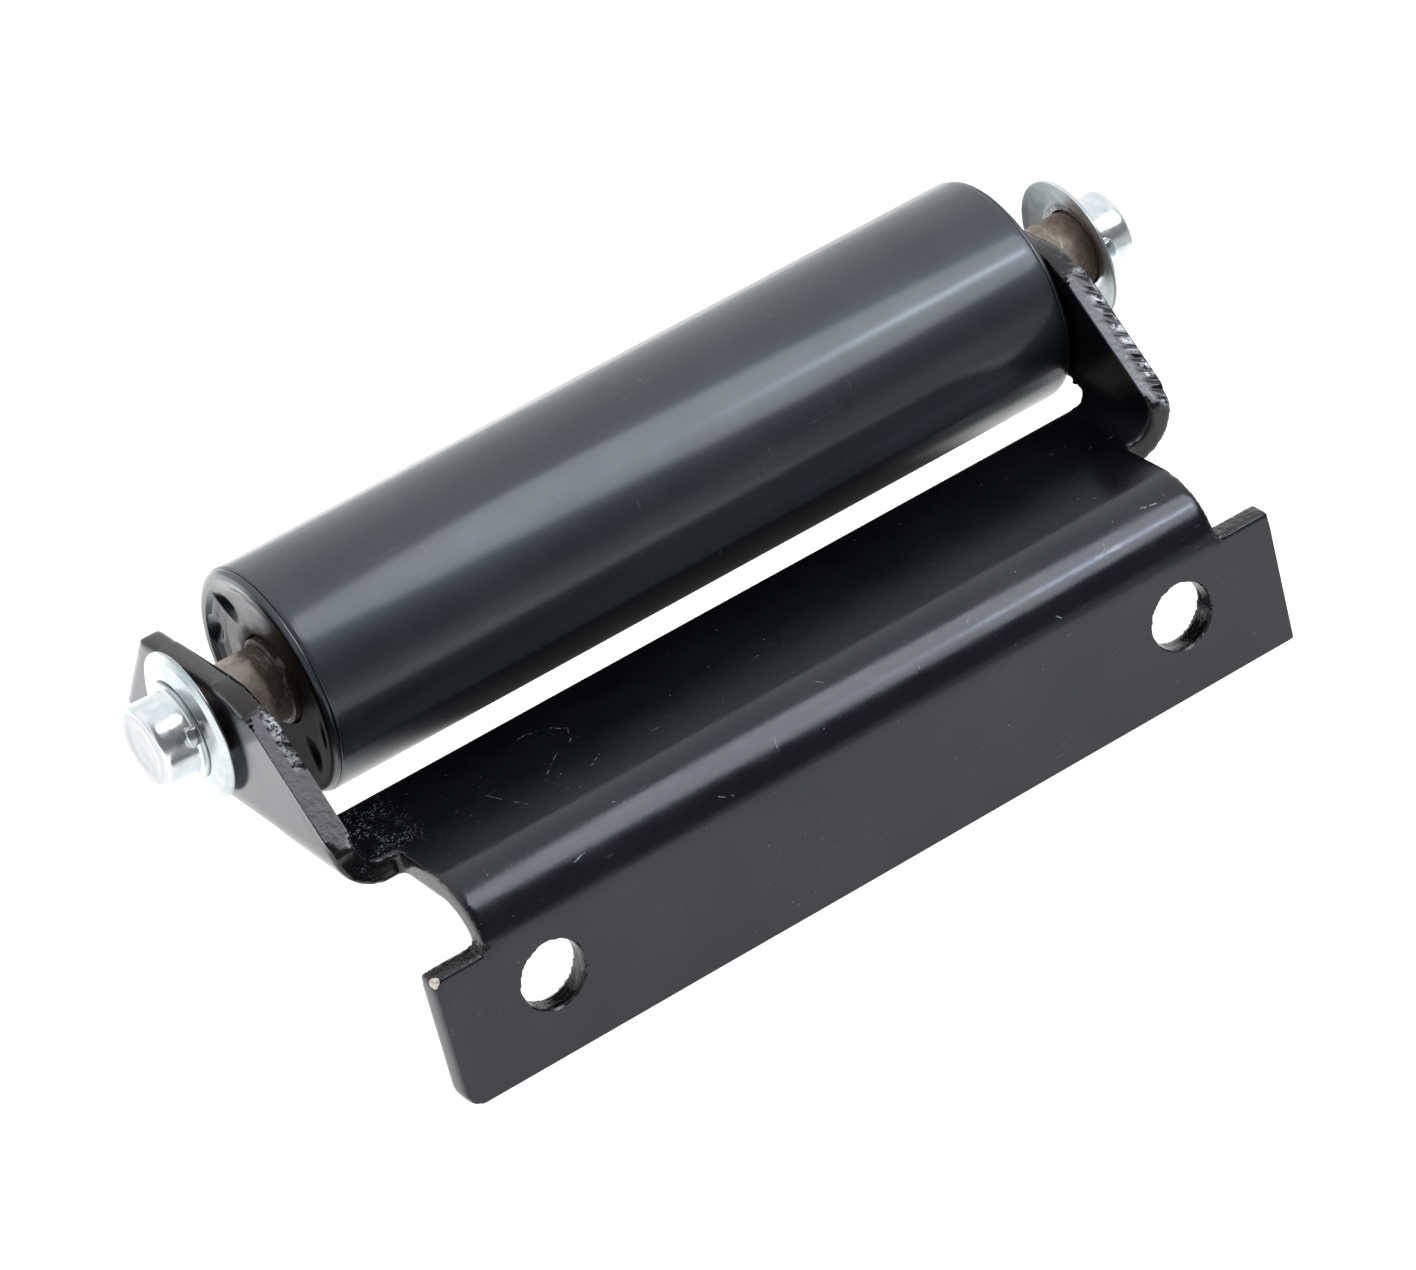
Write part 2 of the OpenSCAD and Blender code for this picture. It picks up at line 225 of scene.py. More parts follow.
def build_bracket():
    obj = remeshed_copy("bracket", "bracket_plate", 0.85)
    mesh = obj.data
    p = read_points(mesh)
    edges = np.empty(len(mesh.edges) * 2, dtype=np.int64)
    mesh.edges.foreach_get("vertices", edges)
    edges = edges.reshape(-1, 2)

    def true_curves(p):
        y, z, ax = p[:, 1], p[:, 2], np.abs(p[:, 0])
        bend = (y < BEND_R - 0.2) & (z > WEB_TOP - BEND_R + 0.2) & (ax < WEB_HALF - 0.8)
        to_cylinder(p, bend, 1, 2, BEND_R, WEB_TOP - BEND_R, BEND_R, 0.25)
        to_cylinder(p, bend, 1, 2, BEND_R, WEB_TOP - BEND_R, BEND_R - PLATE, 0.25)
        for sign in (-1, 1):
            ear = (y > EAR_FRONT + 0.8) & (z < EAR_ROOT - 0.2) & (p[:, 0] * sign > EAR_HALF - EAR_BEND_R + 0.2)
            for r in (EAR_BEND_R, EAR_BEND_R - PLATE):
                to_cylinder(p, ear, 0, 2, sign * (EAR_HALF - EAR_BEND_R), EAR_ROOT, r, 0.25)
            hole = (y > 0.8) & (y < PLATE - 0.8) & (z < 14)
            to_cylinder(p, hole, 0, 2, sign * HOLE_X, 0, HOLE_R, 0.4)
        relief = (ax < EAR_IN) & (z < AXIS_Z) & (y > EAR_FRONT)
        to_cylinder(p, relief, 1, 2, AXIS_Y, AXIS_Z, TUBE_R + 1, 0.4)

    def true_faces(p):
        """Moves points near the ears' and the flange's flat faces onto them, which keeps their edges crisp."""
        near = 0.8
        shoulder = EAR_FRONT + (EAR_TOP - EAR_ROOT) / math.tan(EAR_SLOPE)
        x, y, z = p[:, 0], p[:, 1], p[:, 2]
        off = (y - EAR_FRONT) * math.sin(EAR_SLOPE) - (z - EAR_ROOT) * math.cos(EAR_SLOPE)
        ear = (z > EAR_ROOT) & (y > EAR_FRONT) & (y < shoulder) & (np.abs(off) < 1.6)
        pull = spread(-y, 0.5 - shoulder, 4 - shoulder) * spread(z, EAR_ROOT + 0.5, EAR_ROOT + 3)
        for level in (EAR_IN, EAR_HALF):
            on = ear & (np.abs(np.abs(x) - level) < near)
            p[on, 0] += pull[on] * (np.sign(x[on]) * level - x[on])
        on = ear & (np.abs(off) < near)
        p[on, 1] -= pull[on] * off[on] * math.sin(EAR_SLOPE)
        p[on, 2] += pull[on] * off[on] * math.cos(EAR_SLOPE)
        for level in (0, PLATE):
            on = (z < WEB_TOP - BEND_R - 0.5) & (np.abs(y - level) < 0.6)
            p[on, 1] = level

    true_curves(p)
    mesh_normals = read_points(mesh, "normal")
    flat = np.max(np.abs(mesh_normals), axis=1) > 0.9995
    weight = np.where(flat, 0.0, 0.45)
    p = relax(p, edges, weight, 5)
    true_curves(p)
    true_faces(p)
    write_points(mesh, p)

    # finer faces on the ears' sloping edges and the lugs' tops, for their cut marks
    bm = bmesh.new()
    bm.from_mesh(mesh)
    picked = []
    for f in bm.faces:
        c = f.calc_center_median() / MM
        n = f.normal
        in_ear = EAR_IN - 0.3 < abs(c.x) < EAR_HALF + 0.3 and c.y > EAR_FRONT - 1 and c.z > 27
        slope = in_ear and c.y < 72 and n.z > 0.25 and n.y < -0.3
        lug = c.z > LUG_TOP - 0.9 and abs(c.x) > WEB_HALF - 0.8 and c.y < PLATE + 0.3 and n.z > 0.3
        if slope or lug:
            picked.append(f)
    ring_edges = list({e for f in picked for e in f.edges})
    bmesh.ops.subdivide_edges(bm, edges=ring_edges, cuts=2, use_grid_fill=True)
    bmesh.ops.triangulate(bm, faces=[f for f in bm.faces if len(f.verts) > 4])
    bm.to_mesh(mesh)
    bm.free()
    mesh.update()

    p, n = read_points(mesh), read_points(mesh, "normal")
    x, y, z, ax = p[:, 0], p[:, 1], p[:, 2], np.abs(p[:, 0])

    # which points lie on cut faces rather than on the rolled plate
    middle = np.abs(ax - (EAR_HALF - PLATE / 2))
    ear_edge = (middle < PLATE / 2 - 0.25) & (y > EAR_FRONT - 0.3) & (z > 30)
    lug_top = (z > LUG_TOP - 0.5) & (ax > WEB_HALF - 0.6) & (y < PLATE + 0.3) & (n[:, 2] > 0.3)
    notch = (np.abs(ax - WEB_HALF) < 0.6) & (np.abs(n[:, 0]) > 0.4) & (y < EAR_FRONT) & (z > 8)
    bend_front = (y < EAR_FRONT + 0.5) & (n[:, 1] < -0.6) & (ax > WEB_HALF - 12) & (y > 25)
    hole = np.zeros(len(p), bool)
    for sign in (-1, 1):
        hole |= (np.hypot(x - sign * HOLE_X, z) < HOLE_R + 0.3) & (y < PLATE + 0.3)
    cut = (ear_edge | lug_top | notch | hole | bend_front).astype(float)

    # flame-cut lines: the outer half of the right ear's slope, a burred stretch inside the left one
    along = (y - EAR_FRONT) * math.cos(EAR_SLOPE) + (z - WEB_TOP) * math.sin(EAR_SLOPE)
    facing = spread(n[:, 2] - n[:, 1], 0.5, 1.2)
    on_slope = facing * ear_edge * (y < 74) * (z > 33)
    right = on_slope * (x > 0) * spread(x, EAR_HALF - 4.2, EAR_HALF - 1.6) * spread(-along, -51, -48)
    left = on_slope * (x < 0) * spread(-x, EAR_IN + 3.4, EAR_IN + 1.2)
    left = left * spread(along, 26, 29) * spread(-along, -46, -42)
    ripple = edge_ripple(along, x - EAR_IN, 3.0)
    depth = right * (0.42 * ripple - 0.2)
    depth += left * (0.6 * edge_ripple(along * 2.1, x, 8.0) - 0.2)
    grain = np.array([noise.fractal(Vector(q) * 0.9, 0.8, 2.0, 3) for q in p])
    depth += (0.012 + 0.10 * lug_top + 0.03 * notch) * cut * grain + 0.12 * left * grain

    # torn burr where the flange's lugs leave the bend, and a knocked corner on the left lug
    for sign in (-1, 1):
        corner = np.linalg.norm((p - np.array([sign * WEB_HALF, 3.2, LUG_TOP])) * np.array([1, 0.6, 1]), axis=1)
        depth += 0.35 * spread(-corner, -3.6, -0.6) * grain
    knock = np.linalg.norm(p - np.array([-FLANGE_HALF, 0.4, LUG_TOP]), axis=1)
    depth += spread(-knock, -3.0, -0.4) * (0.55 + 0.4 * grain)

    # the plate is never quite flat
    sway = np.array([noise.noise(Vector(q) / 38 + Vector((5, 2, 9))) for q in p])
    p = p - n * (depth - 0.05 * sway)[:, None]
    write_points(mesh, p)

    mark = mesh.attributes.new("cut", "FLOAT", "POINT")
    mark.data.foreach_set("value", cut * np.where(ear_edge | bend_front, 0.12, np.where(notch, 0.3, 1.0)))
    # painted glints: a pale bluish colour on the crests of the right ear's cut lines and over the left ear's burred
    # stretch stands in for their highlights
    painted_glint = mesh.attributes.new("painted_glint", "FLOAT", "POINT")
    patchy = spread(np.array([noise.noise(Vector(q) / 4.5 + Vector((2, 7, 1))) for q in p]), -0.25, 0.3)
    painted_glint.data.foreach_set("value", np.clip(right * spread(ripple, 0.75, 0.25) + left, 0, 1) * patchy)
    bare = mesh.attributes.new("bare", "FLOAT", "POINT")
    bare.data.foreach_set("value", spread(-knock, -3.2, -1.6))
    smooth_faces(obj)
    mesh.set_sharp_from_angle(angle=math.radians(40))
    return obj


bracket = build_bracket()
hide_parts("bracket")
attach(bracket, "bracket_body")


# ---------------------------------------------------------------- roller tube

def build_tube():
    length = tube_high.x - tube_low.x
    path = [
        (TUBE_BORE, length / 2), (TUBE_BORE, 0), (TUBE_R, 0), (TUBE_R, length), (TUBE_BORE, length),
        (TUBE_BORE, length / 2),
    ]
    path = round_path(path, [0, 0.4, 0.75, 0.75, 0.4, 0], 6)
    path = even_path(path, 1.6)[:-1]
    obj = lathe("roller_tube_shell", path, tube_low.x, 1, 288)
    p, n = read_points(obj.data), read_points(obj.data, "normal")
    r = np.hypot(p[:, 1] - AXIS_Y, p[:, 2] - AXIS_Z)
    outer = spread(r, TUBE_R - 0.2, TUBE_R - 0.05)
    long_wave = np.array([noise.noise(Vector((q[0] / 55, q[1] / 16, q[2] / 16))) for q in p])
    small_wave = np.array([noise.noise(Vector((q[0] / 14, q[1] / 6, q[2] / 6)) + Vector((4, 4, 4))) for q in p])
    write_points(obj.data, p + n * ((0.035 * long_wave + 0.010 * small_wave - 0.04) * outer)[:, None])
    smooth_faces(obj)
    return obj


tube = build_tube()
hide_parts("roller_tube")
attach(tube, "roller")


# ---------------------------------------------------------------- roller end cups

LEFT_RIM, RIGHT_RIM = 1.95, 1.8     # 0.3 mm or more clear of the ears at the ends of roller_float
DIMPLE_DEPTH, DIMPLE_R = 1.5, 4.0


def build_end_cup(name, plane, side):
    rim = LEFT_RIM if side < 0 else RIGHT_RIM
    path = [
        (18.0, -14.9), (18.0, -2.2), (11.8, -2.2), (11.8, -0.35), (16.0, -0.3), (19.6, -0.1), (22.4, 0.35),
        (24.6, 0.5 * rim), (26.4, 0.9 * rim), (27.8, rim), (28.9, 0.8 * rim), (29.68, 0.38 * rim), (29.66, 0.12),
        (28.8, 0.04), (TUBE_BORE - 0.03, 0.02), (TUBE_BORE - 0.03, -19.9),
        (TUBE_BORE - 1.8, -19.9), (TUBE_BORE - 1.8, -2.3), (19.8, -2.3), (19.8, -14.9), (18.0, -14.9),
    ]
    radii = [0, 0, 0.2, 0.5, 1, 1, 1, 0.9, 0.9, 0.6, 0.6, 0.3, 0.1, 0, 0, 0, 0.3, 0.3, 0.4, 0.2, 0]
    path = even_path(round_path(path, radii, 4), 0.55)[:-1]
    obj = lathe(name, path, plane, side, 288)
    mesh = obj.data
    p, n = read_points(mesh), read_points(mesh, "normal")
    face = spread(n[:, 0] * side, 0.3, 0.7)
    y, z = p[:, 1] - AXIS_Y, p[:, 2] - AXIS_Z
    h = (p[:, 0] - plane) * side
    depth = np.zeros(len(p))
    for local in (39, 75, 219, 255):
        turn = math.radians(90 - local if side < 0 else local - 90)
        out = y * math.cos(turn) + z * math.sin(turn)
        sideways = z * math.cos(turn) - y * math.sin(turn)
        # each dimple is an ellipse: one of a pair lies along the rim, the other points at it
        ring, tall, wide = (23.9, 0.62, 1.15) if local in (75, 255) else (20.6, 1.25, 0.75)
        d = np.hypot((out - ring) / tall, sideways / wide)
        pit = DIMPLE_DEPTH * np.clip(1 - (d / DIMPLE_R) ** 2, 0, 1) ** 1.1
        lip = 0.06 * np.exp(-((d - 4.6) / 0.6) ** 2)
        depth = np.maximum(depth, pit) - lip
    depth = depth * face * (h > -1.2)
    grain = np.array([noise.noise(Vector(q) / 7 + Vector((side * 3, 0, 0))) for q in p])
    p[:, 0] -= side * depth
    p += n * (0.05 * grain * (h > -1))[:, None]
    write_points(mesh, p)
    smooth_faces(obj)
    return obj


cups = {}
for end, plane, side in (("left", tube_low.x, -1), ("right", tube_high.x, 1)):
    cup = build_end_cup("roller_end_" + end, plane, side)
    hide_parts("end_cup_" + end)
    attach(cup, "roller")
    cups[end] = cup


# ---------------------------------------------------------------- axle

def build_axle():
    length = axle_high.x - axle_low.x
    path = [(0.001, 0), (AXLE_R, 0), (AXLE_R, length), (0.001, length)]
    path = even_path(round_path(path, [0, 0.9, 0.9, 0], 5), 1.3)
    obj = lathe("axle_bar", path, axle_low.x, 1, 128, closed=False)
    p, n = read_points(obj.data), read_points(obj.data, "normal")
    scale = np.array([noise.fractal(Vector(q) / 2.6, 0.9, 2.1, 4) for q in p])
    lines = np.array([noise.noise(Vector((q[0] * 1.1, q[1] / 9, q[2] / 9))) for q in p])
    p = p + n * (0.045 * scale + 0.03 * lines - 0.06)[:, None]
    write_points(obj.data, p)
    smooth_faces(obj)
    return obj


axle = build_axle()
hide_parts("axle")
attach(axle, "axle_body")


# ---------------------------------------------------------------- washers and caps

def build_washer(name, plane, side):
    path = [
        (10.3, 2.05), (12.9, 2.05), (14.9, 1.5), (17.2, 0.78), (18.7, 0.12), (19.1, 0.02), (19.4, 0.3),
        (19.35, 0.75), (18.9, 0.98), (17.4, 1.72), (15.1, 2.4), (13.2, 2.9), (10.3, 2.9), (10.3, 2.05),
    ]
    radii = [0, 0.8, 0.8, 0.8, 0.3, 0.2, 0.25, 0.3, 0.4, 0.8, 0.8, 0.8, 0.2, 0]
    path = even_path(round_path(path, radii, 4), 0.5)[:-1]
    obj = lathe(name, path, plane, side, 240)
    wobble(obj, 0.07, 6, side * 2.3)
    return obj


def build_cap(name, plane, side):
    top = 13.5
    path = [
        (0.001, top - 0.22), (5.6, top - 0.20), (7.6, top), (10.9, top - 0.1), (10.85, 5.2), (10.9, 3.9), (12.7, 3.75),
        (12.9, 3.3), (12.7, 2.95), (10.3, 2.93), (10.05, 4.4), (10.1, top - 1.1), (0.001, top - 1.0),
    ]
    radii = [0, 0.6, 0.6, 2.3, 0.6, 0.9, 0.3, 0.2, 0.2, 0.3, 0.8, 1.6, 0]
    path = even_path(round_path(path, radii, 7), 0.6)
    obj = lathe(name, path, plane, side, 160, closed=False)
    wobble(obj, 0.10, 5, side * 5.1)
    return obj


def build_tab(name, plane, side, turn):
    """Tab folded up against the cup: a rounded block, pinched in the middle by the crimp."""
    bm = bmesh.new()
    bmesh.ops.create_cube(bm, size=1)
    bmesh.ops.subdivide_edges(bm, edges=bm.edges[:], cuts=9, use_grid_fill=True)
    a = math.radians(turn)
    out = Vector((0, math.cos(a), math.sin(a)))
    across = Vector((0, -math.sin(a), math.cos(a)))
    for v in bm.verts:
        u, w, h = v.co.x, v.co.y, v.co.z + 0.5
        box = Vector((u, w, h - 0.5)) * 2
        ball = box.normalized() * 1.12 if box.length else box
        soft = box.lerp(ball, 0.7)
        u, w, h = soft.x / 2, soft.y / 2, soft.z / 2 + 0.5
        pinch = 1 - 0.12 * math.exp(-((h - 0.42) / 0.2) ** 2)
        reach = 9.9 + (u + 0.5) * (3.3 - 0.5 * h)
        side_way = w * 5.2 * pinch + 0.2 * h * h
        spot = out * reach + across * side_way
        v.co = Vector((plane + side * (3.0 + h * 3.7), AXIS_Y, AXIS_Z)) + spot
        v.co *= MM
    mesh = bpy.data.meshes.new(name)
    bm.to_mesh(mesh)
    bm.free()
    obj = bpy.data.objects.new(name, mesh)
    scene.collection.objects.link(obj)
    fix_normals(obj)
    smooth_faces(obj)
    return obj


caps = []
for end, side, first_tab in (("left", -1, 162), ("right", 1, 169)):
    inner_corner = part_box("retaining_washer_" + end)[1 if side < 0 else 0]
    plane = inner_corner.x / MM
    washer = build_washer("washer_" + end, plane, side)
    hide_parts("retaining_washer_" + end)
    cap = build_cap("cap_" + end, plane, side)
    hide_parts("cap_cup_" + end)
    tabs = [build_tab("cap_tab_%s_%d" % (end, i), plane, side, first_tab + 180 * i) for i in range(2)]
    for piece in [washer, cap] + tabs:
        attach(piece, "axle_body")
        caps.append(piece)


# ---------------------------------------------------------------- material helpers

class Graph:
    """Short way to write a material's nodes. Coordinates are the object's own, in millimetres."""

    def __init__(self, name):
        self.mat = bpy.data.materials.new(name)
        self.mat.use_nodes = True
        self.tree = self.mat.node_tree
        self.shader = self.tree.nodes["Principled BSDF"]
        coord = self.tree.nodes.new("ShaderNodeTexCoord")
        self.place = self.vector("MULTIPLY", coord.outputs["Object"], (1000, 1000, 1000))

    def put(self, socket, value):
        if isinstance(value, bpy.types.NodeSocket):
            self.tree.links.new(value, socket)
        else:
            socket.default_value = value

    def vector(self, how, a, b=None, out="Vector"):
        n = self.tree.nodes.new("ShaderNodeVectorMath")
        n.operation = how
        self.put(n.inputs[0], a)
        if b is not None:
            self.put(n.inputs[3 if how == "SCALE" else 1], b)
        return n.outputs[out]

    def math(self, how, a, b=0.0, clamp=False):
        n = self.tree.nodes.new("ShaderNodeMath")
        n.operation = how
        n.use_clamp = clamp
        self.put(n.inputs[0], a)
        self.put(n.inputs[1], b)
        return n.outputs[0]

    def noise(self, size, detail=2.0, where=None, stretch=None, rough=0.5, shift=0.0):
        n = self.tree.nodes.new("ShaderNodeTexNoise")
        p = self.place if where is None else where
        if stretch:
            p = self.vector("MULTIPLY", p, stretch)
        if shift:
            p = self.vector("ADD", p, (shift, shift * 0.7, -shift))
        self.put(n.inputs["Vector"], p)
        n.inputs["Scale"].default_value = 1.0 / size
        n.inputs["Detail"].default_value = detail
        n.inputs["Roughness"].default_value = rough
        return n.outputs["Fac"]

    def cells(self, size):
        n = self.tree.nodes.new("ShaderNodeTexVoronoi")
        self.put(n.inputs["Vector"], self.place)
        n.inputs["Scale"].default_value = 1.0 / size
        return n

    def band(self, value, low, high):
        """0 below low, 1 above high, smooth between. Works downwards too."""
        n = self.tree.nodes.new("ShaderNodeMapRange")
        n.interpolation_type = "SMOOTHSTEP"
        self.put(n.inputs["Value"], value)
        flip = low > high
        n.inputs["From Min"].default_value = min(low, high)
        n.inputs["From Max"].default_value = max(low, high)
        n.inputs["To Min"].default_value = 1.0 if flip else 0.0
        n.inputs["To Max"].default_value = 0.0 if flip else 1.0
        return n.outputs["Result"]

    def fit(self, value, low, high):
        """A 0 to 1 value stretched to low..high."""
        n = self.tree.nodes.new("ShaderNodeMapRange")
        self.put(n.inputs["Value"], value)
        n.inputs["From Min"].default_value = 0.25
        n.inputs["From Max"].default_value = 0.75
        n.inputs["To Min"].default_value = low
        n.inputs["To Max"].default_value = high
        return n.outputs["Result"]

    def mix(self, fac, a, b):
        n = self.tree.nodes.new("ShaderNodeMix")
        n.data_type = "RGBA"
        self.put(n.inputs["Factor"], fac)
        self.put(n.inputs[6], a if isinstance(a, bpy.types.NodeSocket) else (*a, 1))
        self.put(n.inputs[7], b if isinstance(b, bpy.types.NodeSocket) else (*b, 1))
        return n.outputs[2]

    def mix_value(self, fac, a, b):
        n = self.tree.nodes.new("ShaderNodeMix")
        n.data_type = "FLOAT"
        self.put(n.inputs["Factor"], fac)
        self.put(n.inputs[2], a)
        self.put(n.inputs[3], b)
        return n.outputs[0]

    def bump(self, layers):
        """layers: (height value, depth in millimetres), added together."""
        total = None
        for value, depth in layers:
            h = self.math("MULTIPLY", value, depth)
            total = h if total is None else self.math("ADD", total, h)
        n = self.tree.nodes.new("ShaderNodeBump")
        n.inputs["Strength"].default_value = 1.0
        n.inputs["Distance"].default_value = MM
        self.put(n.inputs["Height"], total)
        self.put(self.shader.inputs["Normal"], n.outputs["Normal"])

    def attribute(self, name):
        n = self.tree.nodes.new("ShaderNodeAttribute")
        n.attribute_name = name
        return n.outputs["Fac"]

    def strokes(self, lines, width):
        """1 on thin lines between pairs of points in millimetres, slightly wandering, 0 elsewhere."""
        drift = self.tree.nodes.new("ShaderNodeTexNoise")
        self.put(drift.inputs["Vector"], self.place)
        drift.inputs["Scale"].default_value = 0.35
        centred = self.vector("SUBTRACT", drift.outputs["Color"], (0.5, 0.5, 0.5))
        p = self.vector("ADD", self.place, self.vector("SCALE", centred, 1.6))
        best = None
        for a, b in lines:
            a, b = Vector(a), Vector(b)
            d = b - a
            away = self.vector("SUBTRACT", p, tuple(a))
            share = self.vector("DOT_PRODUCT", away, tuple(d / d.length_squared), "Value")
            share = self.math("MULTIPLY", share, 1.0, clamp=True)
            foot = self.vector("SCALE", tuple(d), share)
            gap = self.vector("LENGTH", self.vector("SUBTRACT", away, foot), out="Value")
            best = gap if best is None else self.math("MINIMUM", best, gap)
        ragged = self.math("MULTIPLY", self.noise(0.9, 3, shift=7), width * 1.5)
        return self.band(self.math("SUBTRACT", best, ragged), width * 0.35, -width * 0.25)

    def around_axle(self):
        """Coordinates (along X, arc length, radius) about the axle's line, in millimetres."""
        split = self.tree.nodes.new("ShaderNodeSeparateXYZ")
        self.put(split.inputs[0], self.place)
        y = self.math("SUBTRACT", split.outputs["Y"], AXIS_Y)
        z = self.math("SUBTRACT", split.outputs["Z"], AXIS_Z)
        arc = self.math("MULTIPLY", self.math("ARCTAN2", z, y), TUBE_R)
        radius = self.math("SQRT", self.math("ADD", self.math("MULTIPLY", y, y), self.math("MULTIPLY", z, z)))
        join = self.tree.nodes.new("ShaderNodeCombineXYZ")
        self.put(join.inputs["X"], split.outputs["X"])
        self.put(join.inputs["Y"], arc)
        self.put(join.inputs["Z"], radius)
        return join.outputs[0]


def specks(g, size, share, radius):
    """Scattered round specks: one in each cell of the given size, kept in a share of the cells."""
    cell = g.cells(size)
    keep = g.tree.nodes.new("ShaderNodeSeparateColor")
    g.put(keep.inputs[0], cell.outputs["Color"])
    kept = g.math("LESS_THAN", keep.outputs[0], share)
    small = g.math("MULTIPLY", g.band(cell.outputs["Distance"], radius / size * 1.25, radius / size * 0.6), kept)
    return small


def web_hairs():
    """One looped hair scratch on the web's left part, and two short straight ones near it."""
    x, y = -0.57 * WEB_HALF, BEND_R + 27
    loop = []
    for k in range(6):
        a = math.radians(140 - 45 * k)
        loop.append((x + 9 * math.cos(a), y + 7 * math.sin(a), WEB_TOP))
    loop += [(x - 7, y - 14, WEB_TOP), (x - 5, y - 22, WEB_TOP)]
    short = [
        ((x + 4, y - 18, WEB_TOP), (x + 9, y - 15, WEB_TOP)),
        ((x - 20, y - 8, WEB_TOP), (x - 15, y - 20, WEB_TOP)),
    ]
    return list(zip(loop, loop[1:])) + short


def bend_point(x, turn):
    """Place on the outside of the bend, turn degrees from its top towards the flange."""
    a = math.radians(turn)
    return (x, BEND_R * (1 - math.sin(a)), WEB_TOP - BEND_R * (1 - math.cos(a)))


def bend_nicks(count=11):
    """Short nicks spread evenly along the bend, each with its own height and slant, and one on the flange's edge."""
    golden = 0.618
    out = [((-FLANGE_HALF + 1.3, 0, 1), (-FLANGE_HALF + 1.3, 0, -5))]
    for i in range(count):
        x = WEB_HALF * (2 * (i + 0.5) / count - 1)
        turn = 20 + 50 * (i * golden % 1)
        out.append((bend_point(x, turn), bend_point(x + 4.5 * math.sin(2.4 * i), turn + 12 * math.cos(1.7 * i))))
    return out


def bracket_paint():
    g = Graph("bracket_paint")
    s = g.shader
    cut, bare = g.attribute("cut"), g.attribute("bare")
    s.inputs["IOR"].default_value = 1.5
    split = g.tree.nodes.new("ShaderNodeSeparateXYZ")
    g.put(split.inputs[0], g.place)
    haze = g.noise(26, 4)
    dust = g.math("MULTIPLY", specks(g, 2.6, 0.20, 0.16), g.band(haze, 0.42, 0.62))
    grit = g.math("MULTIPLY", specks(g, 1.3, 0.16, 0.11), g.band(g.noise(17, 3, shift=11), 0.5, 0.66))
    hair = g.strokes(web_hairs(), 0.15)
    nicks = g.strokes(bend_nicks(), 0.20)
    scuff_place = g.vector("MULTIPLY", g.place, (0.35, 2.2, 2.2))
    streaky = g.band(g.noise(1.6, 3, where=scuff_place, shift=3), 0.66, 0.76)
    scuffs = g.math("MULTIPLY", streaky, g.band(g.noise(15, 2, shift=23), 0.56, 0.7))
    broken = g.band(g.noise(2.1, 3, shift=17), 0.36, 0.58)
    lines = g.math("MULTIPLY", g.math("MAXIMUM", g.math("MULTIPLY", hair, 0.45), nicks), broken)
    near_ear = g.math("MULTIPLY", g.band(split.outputs["X"], -95, -105), g.band(split.outputs["Y"], 27, 36))
    low = g.band(split.outputs["Z"], 31, 29.6)
    grains = g.band(g.noise(0.62, 3, shift=41), 0.57, 0.63)
    chalk = g.math("MULTIPLY", grains, g.band(g.noise(5, 3, shift=35), 0.40, 0.60))
    snow = g.math("MULTIPLY", g.math("MULTIPLY", chalk, near_ear), g.math("MULTIPLY", low, 0.45))
    # painted shade: the inside face of the right ear, which lies in shade, gets weaker and rougher reflections than
    # the rest so that it stays dark
    painted_shade_inner = g.math("MULTIPLY", g.band(split.outputs["X"], 108, 112), g.band(split.outputs["X"], 118.1, 117.7))
    painted_shade_inner = g.math("MULTIPLY", painted_shade_inner, g.band(split.outputs["Y"], 33, 36))
    g.put(s.inputs["Specular IOR Level"], g.mix_value(painted_shade_inner, g.fit(haze, 0.48, 0.52), 0.12))
    scratch = g.math("MAXIMUM", g.math("MAXIMUM", lines, snow), g.math("MULTIPLY", scuffs, 0.30))
    light = g.math("MAXIMUM", g.math("MAXIMUM", dust, grit), scratch, clamp=True)
    black = g.mix(g.fit(haze, 0, 1), (0.0010, 0.0011, 0.0018), (0.0025, 0.0027, 0.0037))
    tint = g.mix(g.fit(haze, 0, 1), (0.86, 0.88, 1.0), (0.92, 0.93, 1.0))
    g.put(s.inputs["Specular Tint"], g.mix(g.band(cut, 0.02, 0.10), tint, (0.98, 0.94, 0.96)))
    colour = g.mix(g.math("MULTIPLY", light, 0.6), black, (0.34, 0.36, 0.39))
    # painted glints: pale bluish spots on the ears' cut edges
    painted_glint = g.math("MULTIPLY", g.attribute("painted_glint"), g.band(g.noise(0.9, 3, shift=29), 0.40, 0.56))
    colour = g.mix(g.math("MULTIPLY", painted_glint, 0.85), colour, (0.62, 0.65, 0.70))
    metal = g.mix(g.fit(g.noise(0.7, 3), 0, 1), (0.36, 0.25, 0.20), (0.82, 0.76, 0.72))
    chip = g.band(g.math("ADD", bare, g.math("MULTIPLY", g.noise(1.4, 4), 0.7)), 0.95, 1.05)
    g.put(s.inputs["Base Color"], g.mix(chip, colour, metal))
    rough = g.fit(g.noise(9, 4, shift=5), 0.14, 0.23)
    rough = g.mix_value(cut, rough, g.fit(g.noise(1.1, 3), 0.12, 0.34))
    rough = g.mix_value(light, rough, 0.62)
    rough = g.mix_value(painted_shade_inner, rough, 0.5)
    g.put(s.inputs["Roughness"], rough)
    cut_grain = g.math("MULTIPLY", g.noise(0.55, 3), cut)
    cut_wave = g.math("MULTIPLY", g.noise(1.7, 2, stretch=(0.45, 1, 1)), cut)
    g.bump([
        (g.noise(1.05, 2), 0.008), (g.noise(2.3, 3, shift=37), 0.013), (g.noise(4.2, 2), 0.016),
        (g.noise(0.28, 1), 0.0010), (cut_grain, 0.11), (cut_wave, 0.24), (light, 0.012),
    ])
    return g.mat


